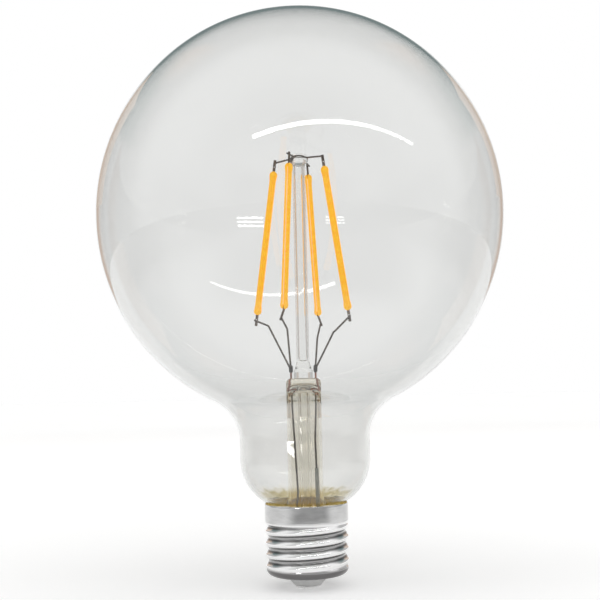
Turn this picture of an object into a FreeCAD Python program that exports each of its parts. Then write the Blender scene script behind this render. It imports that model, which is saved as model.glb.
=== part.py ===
import FreeCAD
import Part
import math
import os

V = FreeCAD.Vector
UP = V(0, 0, 1)
ORIGIN = V(0, 0, 0)

# Globe: one blown piece with sphere, throat, neck, shoulder and tail
GLOBE_RADIUS = 62.5
GLOBE_HEIGHT = 114.5
GLASS_WALL = 0.75
NECK_RADIUS = 20.3
THROAT_BEND = 13.4
SHOULDER_BEND = 15.4
TAIL_RADIUS = 11.4
TAIL_BEND = 0.8
TAIL_DEPTH = 5.5
TAIL_DROP = 0.76

# Screw shell: rolled sheet with a right-hand round thread
SHEET = 0.3
COLLAR_TOP = 26.3
COLLAR_RADIUS = 13.05
THREAD_TOP = 21.0
THREAD_BOTTOM = 6.2
THREAD_CREST = 13.1
THREAD_ROOT = 12.05
THREAD_PITCH = 3.629
THREAD_PHASE = 1.37
THREAD_RUNOUT = 1.8
POLES_PER_TURN = 24
POLES_PER_PITCH = 8
FOOT_RADIUS = 12.9
FOOT_BEND = 2.2
MOUTH_RADIUS = 6.5
MOUTH_HEIGHT = 3.4

# Cap insulator and centre contact
INSULATOR_TIP = 4.35
FLANGE_TOP = 6.4
FLANGE_RADIUS = 8.6
CONTACT_RADIUS = 4.0
CONTACT_THICKNESS = 0.8
CONTACT_ROUND = 0.5
SHANK_RADIUS = 1.5
SHANK_ABOVE = 0.9

# Basing cement
CEMENT_HOLE = 6.4
CEMENT_BELOW = 0.9
CEMENT_LIP = 0.2
CEMENT_GAP = 0.05
CEMENT_STEP = 0.3
CEMENT_RISE = 2.6

# Stem flare and press
FLARE_RADIUS = 5.45
FLARE_WALL = 0.9
TRUMPET_BEND = 7.5
TRUMPET_START = 29.5
PRESS_START = 60.5
PRESS_TAPER = 3.3
PRESS_HEIGHT = 4.7
PRESS_SIDE_DROP = 1.8
PRESS_MARGIN = 0.1
DOME_RISE = 2.0

# Exhaust tube
EXHAUST_RADIUS = 1.85
EXHAUST_WALL = 0.75
EXHAUST_TIP = 16.5
EXHAUST_SEAT = 1.2

# Support rod and button
ROD_RADIUS = 1.95
ROD_BORE = 0.6
ROD_FOOT_GAP = 0.3
ROD_FOOT_HEIGHT = 2.4
ROD_FOOT_TAPER = 2.7
BUTTON_ABOVE = 2.91
BUTTON_RADIUS = 3.05
BUTTON_HALF = 1.5
BUTTON_CROWN = 0.2

# Wires
LEAD_RADIUS = 0.3
JUMPER_RADIUS = 0.27
BEND_RADIUS = 1.2
SEAL_INSET = 0.7
SEAL_RISE = 0.1
KNOT_RADIUS = 0.62
KNOT_ABOVE = 1.7
KNOT_LENGTH = 2.5
LEAD_SPREAD = 0.32
SLEEVE_WALL = 0.3
SLEEVE_GAP = 0.15
SLEEVE_TOP = 37.0
SLEEVE_BOTTOM = 16.0
LEFT_LEAD_INSET = 0.9
LEFT_LEAD_DEG = 214
RIGHT_LEAD_INSET = 0.5
RIGHT_LEAD_HIGH_DEG = -14
RIGHT_LEAD_LOW_DEG = -16
RIGHT_LEAD_RISE = 9.0
RIGHT_LEAD_DROP = 4.0
RIGHT_LEAD_OUT = 1.4

# Filaments, named by where they stand
FILAMENT_TURN_DEG = -20.4
FILAMENT_NAMES = ("right", "back", "left", "front")
FILAMENT_LENGTH = 45.6
FILAMENT_FOOT_RADIUS = 15.2
FILAMENT_FOOT_HEIGHT = 85.7
FILAMENT_HEAD_RADIUS = 8.4
COAT_RADIUS = 1.02
COAT_BULGE = 0.2
COAT_BULGE_LENGTH = 1.5
STRIP_WIDTH = 1.8
STRIP_THICKNESS = 0.4
TAB_INSIDE = 1.4
TAB_OUTSIDE = 3.5
TAB_WIDTH = 0.8
TAB_HOLE = 0.22
TAB_HOLE_AT = 1.4
TAB_GRIP = {"right": 1.8, "back": 3.0, "left": 1.8, "front": 3.0}
TAB_LEAN_DEG = {"right": 0, "back": -18, "left": 0, "front": -18}
TAB_PAST = 0.6
CHIPS_PER_FACE = 14
CHIP_LENGTH = 0.9
CHIP_WIDTH = 0.5
CHIP_HEIGHT = 0.18
LEAD_BEND_RADIUS = {"right": 4.0, "back": 1.6, "left": 1.6, "front": 1.6}
LEAD_BEND_DROP = {"right": 2.2, "back": 4.4, "left": 1.3, "front": 2.2}
LEAD_BEND_OUT = {"right": 7.8, "back": 10.8, "left": 10.8, "front": 10.8}
LEAD_SIDE = {"right": -1, "back": 1, "left": 1, "front": 1}
JUMPER_GRIP = {"back": 2.65, "front": 3.0}
JUMPER_ARCH = {"back": 1.0, "front": 0.1}
JUMPER_INSET = 0.85

# Driver in the cap
BOARD_RADIUS = 9.5
BOARD_TOP = 14.0
BOARD_THICKNESS = 1.0
CAPACITOR_RADIUS = 2.6
CAPACITOR_LENGTH = 8.0
CAPACITOR_OFFSET = 4.6
RESISTOR_RADIUS = 1.1
RESISTOR_LENGTH = 6.0
RESISTOR_OFFSET = 4.8
RECTIFIER = (4.8, 3.9, 1.6)
RECTIFIER_AT = (4.2, 4.6)
DRIVER_CHIP = (4.9, 3.9, 1.4)
DRIVER_CHIP_AT = (-4.4, 4.2)
LEFT_LEAD_END = (-4.0, -2.6)
SHELL_WIRE_GAP = 0.05
SHELL_WIRE_FOOT = 1.5
SHELL_WIRE_DROP = 0.6

# Sizes that follow from the ones above
TAIL_END = COLLAR_TOP - TAIL_DEPTH
TAIL_INNER = TAIL_RADIUS - GLASS_WALL
CEMENT_BOTTOM = TAIL_END - CEMENT_BELOW
THREAD_INNER = THREAD_ROOT - SHEET
FLARE_BORE = FLARE_RADIUS - FLARE_WALL
PRESS_TOP = PRESS_START + PRESS_HEIGHT
SEAT_TOP = PRESS_START + DOME_RISE + EXHAUST_SEAT
SEAL_OFFSET = FLARE_BORE - SEAL_INSET
SEAL_BOTTOM = PRESS_START + SEAL_RISE
KNOT_BOTTOM = PRESS_TOP + KNOT_ABOVE
KNOT_TOP = KNOT_BOTTOM + KNOT_LENGTH
ROD_FOOT_RADIUS = SEAL_OFFSET - KNOT_RADIUS - ROD_FOOT_GAP
PRESS_HALF = ROD_FOOT_RADIUS + PRESS_MARGIN
LEAD_RUN = FLARE_BORE - LEAD_RADIUS - SLEEVE_WALL - SLEEVE_GAP
FILAMENT_LEAN = FILAMENT_FOOT_RADIUS - FILAMENT_HEAD_RADIUS
FILAMENT_RISE = math.sqrt(FILAMENT_LENGTH ** 2 - FILAMENT_LEAN ** 2)
FILAMENT_STEP_DEG = 360 / len(FILAMENT_NAMES)
FILAMENT_ANGLE = {
    name: FILAMENT_TURN_DEG + FILAMENT_STEP_DEG * k for k, name in enumerate(FILAMENT_NAMES)}
BUTTON_HEIGHT = FILAMENT_FOOT_HEIGHT + FILAMENT_RISE + BUTTON_ABOVE
BOARD_BOTTOM = BOARD_TOP - BOARD_THICKNESS
SHANK_TOP = FLANGE_TOP + SHANK_ABOVE


def rz(radius, height):
    return V(radius, 0, height)


def line(start, end):
    return Part.LineSegment(start, end).toShape()


def lines(points):
    return [line(a, b) for a, b in zip(points, points[1:])]


def unit(vector):
    return vector * (1 / vector.Length)


def arc(center, start, end):
    """Arc of less than half a turn between two points at one distance from the centre."""
    middle = unit((start - center) + (end - center))
    return Part.Arc(start, center + middle * (start - center).Length, end).toShape()


def outward(solid):
    return solid if solid.Volume > 0 else solid.reversed()


def turned(edges):
    """Solid of revolution of a closed outline drawn in the XZ half-plane."""
    return outward(Part.Face(Part.Wire(edges)).revolve(ORIGIN, UP, 360))


def cylinder(radius, bottom, top):
    return Part.makeCylinder(radius, top - bottom, V(0, 0, bottom))


def block(size, center, bottom):
    corner = V(center[0] - size[0] / 2, center[1] - size[1] / 2, bottom)
    return Part.makeBox(size[0], size[1], size[2], corner)


def polar(radius, degrees, height, side=0.0):
    """Point at a radius and an angle, moved sideways along the tangent."""
    a = math.radians(degrees)
    x = radius * math.cos(a) - side * math.sin(a)
    y = radius * math.sin(a) + side * math.cos(a)
    return V(x, y, height)


def between(start, end, height):
    """Point at a height on the straight run between two points."""
    return start + (end - start) * ((height - start.z) / (end.z - start.z))


def wire(points, radius, bend=BEND_RADIUS):
    """Round wire along straight runs joined by tangent arcs."""
    edges = []
    last = points[0]
    for before, corner, after in zip(points, points[1:], points[2:]):
        back = unit(before - corner)
        ahead = unit(after - corner)
        half = back.getAngle(ahead) / 2
        room = 0.45 * min((before - corner).Length, (after - corner).Length)
        reach = min(bend / math.tan(half), room)
        center = corner + unit(back + ahead) * (reach / math.cos(half))
        start = corner + back * reach
        end = corner + ahead * reach
        edges += [line(last, start), arc(center, start, end)]
        last = end
    edges.append(line(last, points[-1]))
    section = Part.Wire([Part.Circle(points[0], points[1] - points[0], radius).toShape()])
    return outward(Part.Wire(edges).makePipeShell([section], True, False))


# Glass pieces

def globe_outline(inset):
    """Outline of the glass from the pole to the tail, moved in by an inset."""
    sphere = rz(0, GLOBE_HEIGHT)
    throat_out = NECK_RADIUS + THROAT_BEND
    throat_drop = math.sqrt((GLOBE_RADIUS + THROAT_BEND) ** 2 - throat_out ** 2)
    throat = rz(throat_out, GLOBE_HEIGHT - throat_drop)
    tail = rz(TAIL_RADIUS + TAIL_BEND, COLLAR_TOP - TAIL_DROP)
    shoulder_out = NECK_RADIUS - SHOULDER_BEND
    shoulder_rise = math.sqrt((SHOULDER_BEND + TAIL_BEND) ** 2 - (tail.x - shoulder_out) ** 2)
    shoulder = rz(shoulder_out, tail.z + shoulder_rise)
    pole = rz(0, GLOBE_HEIGHT + GLOBE_RADIUS - inset)
    on_sphere = sphere + unit(throat - sphere) * (GLOBE_RADIUS - inset)
    neck_top = rz(NECK_RADIUS - inset, throat.z)
    neck_end = rz(NECK_RADIUS - inset, shoulder.z)
    on_shoulder = shoulder + unit(tail - shoulder) * (SHOULDER_BEND - inset)
    tail_top = rz(TAIL_RADIUS - inset, tail.z)
    tail_end = rz(TAIL_RADIUS - inset, TAIL_END)
    edges = [arc(sphere, pole, on_sphere), arc(throat, on_sphere, neck_top)]
    edges += [line(neck_top, neck_end), arc(shoulder, neck_end, on_shoulder)]
    edges += [arc(tail, on_shoulder, tail_top), line(tail_top, tail_end)]
    return edges, pole, tail_end


def make_globe():
    outer, outer_pole, outer_end = globe_outline(0)
    inner, inner_pole, inner_end = globe_outline(GLASS_WALL)
    edges = outer + [line(outer_end, inner_end)] + inner[::-1] + [line(inner_pole, outer_pole)]
    return turned(edges)


def make_stem():
    """Flared tube, closed at the top by a press that is flattened front to back."""
    center = rz(FLARE_RADIUS + TRUMPET_BEND, TRUMPET_START)
    ends = []
    for bend in (TRUMPET_BEND, TRUMPET_BEND + FLARE_WALL):
        drop = math.sqrt(bend ** 2 - (center.x - TAIL_INNER) ** 2)
        ends.append(rz(TAIL_INNER, center.z - drop))
    outer_foot = rz(FLARE_RADIUS, TRUMPET_START)
    inner_foot = rz(FLARE_BORE, TRUMPET_START)
    edges = [arc(center, outer_foot, ends[0]), line(ends[0], ends[1]), arc(center, ends[1], inner_foot)]
    edges += lines([inner_foot, rz(FLARE_BORE, PRESS_START), rz(FLARE_RADIUS, PRESS_START), outer_foot])
    tube = turned(edges)

    r = FLARE_RADIUS
    taper_top = PRESS_START + PRESS_TAPER
    side = [(-r, PRESS_START), (r, PRESS_START), (PRESS_HALF, taper_top), (PRESS_HALF, PRESS_TOP)]
    side += [(-PRESS_HALF, PRESS_TOP), (-PRESS_HALF, taper_top), (-r, PRESS_START)]
    wedge = Part.Face(Part.makePolygon([V(-r, y, z) for y, z in side])).extrude(V(2 * r, 0, 0))
    left = V(-r, -r, PRESS_TOP - PRESS_SIDE_DROP)
    right = V(r, -r, PRESS_TOP - PRESS_SIDE_DROP)
    roof = Part.Arc(left, V(0, -r, PRESS_TOP), right).toShape()
    walls = lines([right, V(r, -r, PRESS_START), V(-r, -r, PRESS_START), left])
    arch = Part.Face(Part.Wire([roof] + walls)).extrude(V(0, 2 * r, 0))
    press = cylinder(r, PRESS_START, PRESS_TOP).common(wedge).common(arch)

    dome_radius = (FLARE_BORE ** 2 + DOME_RISE ** 2) / (2 * DOME_RISE)
    dome_top = rz(0, PRESS_START + DOME_RISE)
    rim = rz(FLARE_BORE, PRESS_START)
    dome = [arc(rz(0, dome_top.z - dome_radius), rim, dome_top)]
    dome += lines([dome_top, rz(0, PRESS_START), rim])
    solid = tube.fuse(press).cut(turned(dome))
    solid = solid.cut(cylinder(EXHAUST_RADIUS, PRESS_START, SEAT_TOP))
    for seal in seal_wires().values():
        solid = solid.cut(seal)
    return solid.removeSplitter()


def make_exhaust():
    """Tube sealed by melting at its lower end."""
    bore = EXHAUST_RADIUS - EXHAUST_WALL
    tip = rz(0, EXHAUST_TIP + EXHAUST_RADIUS)
    edges = [arc(tip, rz(0, EXHAUST_TIP), rz(EXHAUST_RADIUS, tip.z))]
    edges += lines([rz(EXHAUST_RADIUS, tip.z), rz(EXHAUST_RADIUS, SEAT_TOP)])
    edges += lines([rz(EXHAUST_RADIUS, SEAT_TOP), rz(bore, SEAT_TOP), rz(bore, tip.z)])
    edges += [arc(tip, rz(bore, tip.z), rz(0, tip.z - bore))]
    edges += [line(rz(0, tip.z - bore), rz(0, EXHAUST_TIP))]
    return turned(edges)


def make_rod(stem, jumpers):
    """Rod with a foot fused on the press and a button that holds the jumpers."""
    foot_bottom = PRESS_TOP - 0.6 * PRESS_SIDE_DROP
    foot_top = PRESS_TOP + ROD_FOOT_HEIGHT
    neck = foot_top + ROD_FOOT_TAPER
    points = [rz(0, foot_bottom), rz(ROD_FOOT_RADIUS, foot_bottom), rz(ROD_FOOT_RADIUS, foot_top)]
    points += [rz(ROD_RADIUS, neck), rz(ROD_RADIUS, BUTTON_HEIGHT), rz(0, BUTTON_HEIGHT), rz(0, foot_bottom)]
    rod = turned(lines(points))
    low = rz(BUTTON_RADIUS - BUTTON_HALF, BUTTON_HEIGHT - BUTTON_HALF)
    high = rz(low.x, BUTTON_HEIGHT + BUTTON_HALF)
    waist = rz(BUTTON_RADIUS, BUTTON_HEIGHT)
    crown = rz(0, high.z + BUTTON_CROWN)
    rim = rz(low.x, BUTTON_HEIGHT)
    edges = [line(rz(0, low.z), low), arc(rim, low, waist), arc(rim, waist, high)]
    edges += lines([high, crown, rz(0, low.z)])
    button = turned(edges)
    bore = cylinder(ROD_BORE, neck, BUTTON_HEIGHT - BUTTON_HALF)
    solid = rod.fuse(button).cut(bore).cut(stem)
    for jumper in jumpers.values():
        solid = solid.cut(jumper)
    return solid.removeSplitter()


# Wires

def seal_wires():
    """Copper clad wires sealed in the press, one on each side."""
    wires = {}
    for name, x in (("left", -SEAL_OFFSET), ("right", SEAL_OFFSET)):
        height = KNOT_BOTTOM + KNOT_RADIUS - SEAL_BOTTOM
        bar = Part.makeCylinder(LEAD_RADIUS, height, V(x, 0, SEAL_BOTTOM))
        wires[name] = bar.cut(weld_knot(x))
    return wires


def weld_knot(x):
    low = KNOT_BOTTOM + KNOT_RADIUS
    high = KNOT_TOP - KNOT_RADIUS
    points = [rz(KNOT_RADIUS, low), rz(KNOT_RADIUS, high)]
    edges = [arc(rz(0, low), rz(0, KNOT_BOTTOM), points[0]), line(points[0], points[1])]
    edges += [arc(rz(0, high), points[1], rz(0, KNOT_TOP)), line(rz(0, KNOT_TOP), rz(0, KNOT_BOTTOM))]
    knot = turned(edges)
    knot.translate(V(x, 0, 0))
    return knot


def inner_lead(name):
    """From the weld knot up and out, along the face of the filament's lower tab."""
    x = SEAL_OFFSET if name in ("right", "back") else -SEAL_OFFSET
    side = LEAD_SIDE[name] * (STRIP_THICKNESS / 2 + LEAD_RADIUS)
    on_tab = tab_turn(name).multVec(V(0, side, -TAB_GRIP[name]))
    grip = filament_place(name).multVec(on_tab)
    bend = polar(LEAD_BEND_OUT[name], FILAMENT_ANGLE[name], grip.z - LEAD_BEND_DROP[name], on_tab.y)
    end = grip + unit(grip - bend) * TAB_PAST
    heading = V(bend.x - x, bend.y, 0)
    start = V(x, 0, KNOT_TOP - KNOT_RADIUS - LEAD_RADIUS) + unit(heading) * LEAD_SPREAD
    return wire([start, bend, end], LEAD_RADIUS, LEAD_BEND_RADIUS[name]).cut(weld_knot(x))


def top_jumper(first, second, grip, arch):
    """From the face of one upper tab, up through the button, to the next upper tab."""
    side = -(STRIP_THICKNESS / 2 + JUMPER_RADIUS)
    lean = FILAMENT_LEAN / FILAMENT_LENGTH
    height = FILAMENT_FOOT_HEIGHT + FILAMENT_RISE + grip * FILAMENT_RISE / FILAMENT_LENGTH
    reach = FILAMENT_HEAD_RADIUS - grip * lean + TAB_PAST
    inside = BUTTON_RADIUS - JUMPER_INSET
    tabs = [polar(reach, FILAMENT_ANGLE[name], height, side) for name in (first, second)]
    middle = [polar(inside, FILAMENT_ANGLE[name], height + arch, side) for name in (first, second)]
    return wire([tabs[0], middle[0], middle[1], tabs[1]], JUMPER_RADIUS)


def left_lead_points():
    low = polar(LEAD_RUN - LEFT_LEAD_INSET, LEFT_LEAD_DEG, TRUMPET_START)
    end = V(LEFT_LEAD_END[0], LEFT_LEAD_END[1], BOARD_TOP)
    return [V(-SEAL_OFFSET, 0, SEAL_BOTTOM), low, end]


def right_lead_points():
    high = polar(LEAD_RUN - RIGHT_LEAD_INSET, RIGHT_LEAD_HIGH_DEG, SLEEVE_TOP + RIGHT_LEAD_RISE)
    low = polar(LEAD_RUN, RIGHT_LEAD_LOW_DEG, TRUMPET_START - RIGHT_LEAD_DROP)
    end = polar(LEAD_RUN + RIGHT_LEAD_OUT, RIGHT_LEAD_LOW_DEG, BOARD_TOP)
    return [V(SEAL_OFFSET, 0, SEAL_BOTTOM), high, low, end]


def lead_sleeve():
    start, high, low, end = right_lead_points()
    points = [between(high, low, SLEEVE_TOP), low, between(low, end, SLEEVE_BOTTOM)]
    return wire(points, LEAD_RADIUS + SLEEVE_WALL).cut(wire(points, LEAD_RADIUS))


# Filament, drawn upright with its lower coat end at the origin and its strip in the XZ plane

def filament_chips():
    run = FILAMENT_LENGTH - 2 * TAB_INSIDE
    step = run / CHIPS_PER_FACE
    chips = []
    for k in range(CHIPS_PER_FACE):
        bottom = TAB_INSIDE + (k + 0.5) * step - CHIP_LENGTH / 2
        for face in (-1, 1):
            y = face * (STRIP_THICKNESS + CHIP_HEIGHT) / 2
            chips.append(block((CHIP_WIDTH, CHIP_HEIGHT, CHIP_LENGTH), (0, y), bottom))
    return Part.makeCompound(chips)


def filament_coat(chips):
    """Two half-round coats, one on each face of the strip, thicker at the ends."""
    big = COAT_RADIUS + COAT_BULGE
    top = FILAMENT_LENGTH
    swell = COAT_BULGE_LENGTH
    edges = [arc(rz(0, big), rz(0, 0), rz(big, big))]
    edges += lines([rz(big, big), rz(big, swell), rz(COAT_RADIUS, 2 * swell)])
    edges += lines([rz(COAT_RADIUS, 2 * swell), rz(COAT_RADIUS, top - 2 * swell)])
    edges += lines([rz(COAT_RADIUS, top - 2 * swell), rz(big, top - swell), rz(big, top - big)])
    edges += [arc(rz(0, top - big), rz(big, top - big), rz(0, top)), line(rz(0, top), rz(0, 0))]
    slot = block((4 * big, STRIP_THICKNESS, top + 2), (0, 0), -1)
    return turned(edges).cut(slot).cut(chips)


def filament_strip():
    run = FILAMENT_LENGTH - 2 * TAB_INSIDE
    return block((STRIP_WIDTH, STRIP_THICKNESS, run), (0, 0), TAB_INSIDE)


def tab_turn(name):
    """Sideways bend of a lower tab where it leaves the coat."""
    return FreeCAD.Rotation(V(1, 0, 0), TAB_LEAN_DEG[name])


def filament_tab(turn):
    """Lower tab with a bend. The upper one is the same piece unbent and turned over."""
    inside = block((TAB_WIDTH, STRIP_THICKNESS, TAB_INSIDE), (0, 0), 0)
    bend = Part.makeCylinder(STRIP_THICKNESS / 2, TAB_WIDTH, V(-TAB_WIDTH / 2, 0, 0), V(1, 0, 0))
    start = V(0, -STRIP_THICKNESS, -TAB_HOLE_AT)
    hole = Part.makeCylinder(TAB_HOLE, 2 * STRIP_THICKNESS, start, V(0, 1, 0))
    outside = block((TAB_WIDTH, STRIP_THICKNESS, TAB_OUTSIDE), (0, 0), -TAB_OUTSIDE).cut(hole)
    outside = placed(outside, FreeCAD.Placement(ORIGIN, turn))
    return inside.fuse(bend).fuse(outside).removeSplitter()


def filament_place(name):
    """Placement of one filament: leaning in, with its strip in a radial plane."""
    foot = polar(FILAMENT_FOOT_RADIUS, FILAMENT_ANGLE[name], FILAMENT_FOOT_HEIGHT)
    lean = math.degrees(math.atan2(FILAMENT_LEAN, FILAMENT_RISE))
    turn = FreeCAD.Rotation(UP, FILAMENT_ANGLE[name])
    return FreeCAD.Placement(foot, turn.multiply(FreeCAD.Rotation(V(0, 1, 0), -lean)))


def placed(shape, placement):
    copy = shape.copy()
    copy.Placement = placement.multiply(copy.Placement)
    return copy


# Screw cap

def smooth(share):
    share = max(0.0, min(1.0, share))
    return share * share * (3 - 2 * share)


def thread_radius(angle, height, gain):
    """Radius of the rolled sheet: a helical wave that runs out into the collar and the foot."""
    middle = (THREAD_CREST + THREAD_ROOT) / 2
    depth = gain * (THREAD_CREST - THREAD_ROOT) / 2
    turn = 2 * math.pi * (height - THREAD_PHASE) / THREAD_PITCH - angle
    rise = (height - THREAD_BOTTOM) / (THREAD_TOP - THREAD_BOTTOM)
    plain = FOOT_RADIUS + (COLLAR_RADIUS - FOOT_RADIUS) * rise
    low = smooth((height - THREAD_BOTTOM) / THREAD_RUNOUT)
    high = smooth((THREAD_TOP - height) / THREAD_RUNOUT)
    return plain + (middle + depth * math.cos(turn) - plain) * low * high


def thread_core(inset):
    """Solid inside the rolled thread: one smooth surface, closed in the round, and two ends."""
    turns = POLES_PER_TURN
    rows = round((THREAD_TOP - THREAD_BOTTOM) / THREAD_PITCH * POLES_PER_PITCH)
    steps = [0, 1 / 3] + list(range(1, rows)) + [rows - 1 / 3, rows]
    swell = 3 / (2 + math.cos(2 * math.pi / turns))
    gain = 3 / (2 + math.cos(2 * math.pi / POLES_PER_PITCH))
    poles = []
    for k in range(turns):
        angle = 2 * math.pi * k / turns
        column = []
        for step in steps:
            height = THREAD_BOTTOM + (THREAD_TOP - THREAD_BOTTOM) * step / rows
            radius = (thread_radius(angle, height, gain) - inset) * swell
            column.append(V(radius * math.cos(angle), radius * math.sin(angle), height))
        poles.append(column)
    surface = Part.BSplineSurface()
    around = [list(range(turns + 1)), [1] * (turns + 1)]
    along = [list(range(rows + 1)), [4] + [1] * (rows - 1) + [4]]
    surface.buildFromPolesMultsKnots(poles, around[1], along[1], around[0], along[0], True, False, 3, 3)
    skin = surface.toShape()
    flat = [edge for edge in skin.Edges if edge.BoundBox.ZLength < 0.01]
    shell = Part.makeShell([skin] + [Part.Face(Part.Wire([edge])) for edge in flat])
    shell.sewShape()
    solid = Part.Solid(shell)
    solid.fix(1e-4, 1e-4, 1e-4)
    return outward(solid)


def foot_line():
    """Corner centre of the foot and the outward direction of its cone, which ends at the mouth."""
    corner = rz(FOOT_RADIUS - FOOT_BEND, THREAD_BOTTOM)
    span = rz(MOUTH_RADIUS, MOUTH_HEIGHT) - corner
    tilt = math.atan2(span.z, span.x) + math.acos(FOOT_BEND / span.Length)
    return corner, rz(math.cos(tilt), math.sin(tilt))


def foot_height(radius, inset):
    """Height of the foot's cone, or of its parallel at an inset, at a radius."""
    corner, normal = foot_line()
    on_cone = corner + normal * (FOOT_BEND - inset)
    return on_cone.z - (radius - on_cone.x) * normal.x / normal.z


def foot_core(inset):
    corner, normal = foot_line()
    on_cone = corner + normal * (FOOT_BEND - inset)
    brim = rz(FOOT_RADIUS - inset, THREAD_BOTTOM)
    mouth = rz(MOUTH_RADIUS, foot_height(MOUTH_RADIUS, inset))
    edges = [arc(corner, brim, on_cone)]
    edges += lines([on_cone, mouth, rz(0, mouth.z), rz(0, THREAD_BOTTOM), brim])
    return turned(edges)


def make_screw_shell():
    outer = thread_core(0).fuse(foot_core(0)).fuse(cylinder(COLLAR_RADIUS, THREAD_TOP, COLLAR_TOP))
    solid = outer.cut(thread_core(SHEET)).cut(foot_core(SHEET))
    solid = solid.cut(cylinder(COLLAR_RADIUS - SHEET, THREAD_TOP, COLLAR_TOP))
    return solid.cut(cylinder(MOUTH_RADIUS, 0, THREAD_BOTTOM))


def make_insulator():
    rim = rz(MOUTH_RADIUS, foot_height(MOUTH_RADIUS, SHEET))
    edge = rz(FLANGE_RADIUS, foot_height(FLANGE_RADIUS, SHEET))
    points = [rz(SHANK_RADIUS, CONTACT_THICKNESS), rz(INSULATOR_TIP, CONTACT_THICKNESS)]
    points += [rz(MOUTH_RADIUS, MOUTH_HEIGHT), rim, edge, rz(FLANGE_RADIUS, FLANGE_TOP)]
    points += [rz(SHANK_RADIUS, FLANGE_TOP), points[0]]
    return turned(lines(points))


def make_contact():
    flat = rz(CONTACT_RADIUS - CONTACT_ROUND, 0)
    side = rz(CONTACT_RADIUS, CONTACT_ROUND)
    edges = [line(rz(0, 0), flat), arc(rz(flat.x, side.z), flat, side)]
    edges += lines([side, rz(CONTACT_RADIUS, CONTACT_THICKNESS), rz(SHANK_RADIUS, CONTACT_THICKNESS)])
    edges += lines([rz(SHANK_RADIUS, CONTACT_THICKNESS), rz(SHANK_RADIUS, SHANK_TOP)])
    edges += lines([rz(SHANK_RADIUS, SHANK_TOP), rz(0, SHANK_TOP), rz(0, 0)])
    return turned(edges)


def make_cement(globe, stem):
    """Cement round the glass tail and in a ring under the trumpet of the stem."""
    outer = COLLAR_RADIUS - SHEET
    inner = THREAD_INNER - CEMENT_GAP
    top = COLLAR_TOP - CEMENT_LIP
    points = [rz(CEMENT_HOLE, CEMENT_BOTTOM), rz(inner, CEMENT_BOTTOM), rz(inner, THREAD_TOP)]
    points += [rz(outer, THREAD_TOP), rz(outer, top), rz(TAIL_RADIUS, top), rz(TAIL_RADIUS, TAIL_END)]
    points += [rz(TAIL_INNER, TAIL_END), rz(TAIL_INNER, TAIL_END + CEMENT_STEP)]
    points += [rz(CEMENT_HOLE, TAIL_END + CEMENT_RISE), points[0]]
    return turned(lines(points)).cut(globe).cut(stem)


# Driver

def lying(radius, length, y, height):
    return Part.makeCylinder(radius, length, V(-length / 2, y, height), V(1, 0, 0))


def shell_wire():
    out = THREAD_INNER - LEAD_RADIUS - SHELL_WIRE_GAP
    low = BOARD_TOP + LEAD_RADIUS
    points = [V(0, SHELL_WIRE_FOOT - BOARD_RADIUS, low), V(0, -out, low)]
    return wire(points + [V(0, -out, CEMENT_BOTTOM - SHELL_WIRE_DROP)], LEAD_RADIUS)


def build():
    globe = make_globe()
    stem = make_stem()
    jumpers = {"back": top_jumper("left", "back", JUMPER_GRIP["back"], JUMPER_ARCH["back"])}
    jumpers["front"] = top_jumper("front", "right", JUMPER_GRIP["front"], JUMPER_ARCH["front"])
    nodes = {"glass_globe": globe, "stem_flare": stem, "exhaust_tube": make_exhaust()}
    nodes["support_rod"] = make_rod(stem, jumpers)
    nodes["top_jumper_back"] = jumpers["back"]
    nodes["top_jumper_front"] = jumpers["front"]
    seals = seal_wires()
    nodes["seal_wire_left"] = seals["left"]
    nodes["seal_wire_right"] = seals["right"]
    chips = filament_chips()
    coat = filament_coat(chips)
    strip = filament_strip()
    flip = FreeCAD.Placement(V(0, 0, FILAMENT_LENGTH), FreeCAD.Rotation(V(0, 1, 0), 180))
    upper = placed(filament_tab(FreeCAD.Rotation()), flip)
    for name in FILAMENT_NAMES:
        place = filament_place(name)
        lower = filament_tab(tab_turn(name))
        pieces = {"coat": coat, "chips": chips, "strip": strip, "lower_tab": lower, "upper_tab": upper}
        for piece, shape in pieces.items():
            nodes["filament_" + name + "_" + piece] = placed(shape, place)
        nodes["inner_lead_" + name] = inner_lead(name).cut(nodes["filament_" + name + "_lower_tab"])
    nodes["weld_knot_left"] = weld_knot(-SEAL_OFFSET)
    nodes["weld_knot_right"] = weld_knot(SEAL_OFFSET)
    board = cylinder(BOARD_RADIUS, BOARD_BOTTOM, BOARD_TOP)
    left_lead = wire(left_lead_points(), LEAD_RADIUS)
    right_lead = wire(right_lead_points(), LEAD_RADIUS)
    nodes["outer_lead_left"] = left_lead.cut(seals["left"]).cut(board)
    nodes["outer_lead_right"] = right_lead.cut(seals["right"]).cut(board)
    nodes["lead_sleeve"] = lead_sleeve()
    nodes["screw_shell"] = make_screw_shell()
    nodes["cap_insulator"] = make_insulator()
    nodes["centre_contact"] = make_contact()
    nodes["basing_cement"] = make_cement(globe, stem)
    nodes["driver_board"] = board
    nodes["bridge_rectifier"] = block(RECTIFIER, RECTIFIER_AT, BOARD_TOP)
    nodes["driver_chip"] = block(DRIVER_CHIP, DRIVER_CHIP_AT, BOARD_TOP)
    low = BOARD_BOTTOM - CAPACITOR_RADIUS
    nodes["smoothing_capacitor"] = lying(CAPACITOR_RADIUS, CAPACITOR_LENGTH, CAPACITOR_OFFSET, low)
    low = BOARD_BOTTOM - RESISTOR_RADIUS
    nodes["fuse_resistor"] = lying(RESISTOR_RADIUS, RESISTOR_LENGTH, -RESISTOR_OFFSET, low)
    nodes["contact_wire"] = cylinder(LEAD_RADIUS, SHANK_TOP, BOARD_BOTTOM)
    nodes["shell_wire"] = shell_wire()
    return nodes


os.makedirs("parts", exist_ok=True)
for node, shape in build().items():
    shape.exportStep("parts/" + node + ".step")
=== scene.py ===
"""Clear globe bulb with leaning filament sticks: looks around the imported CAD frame. Metres throughout."""
import math

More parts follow.
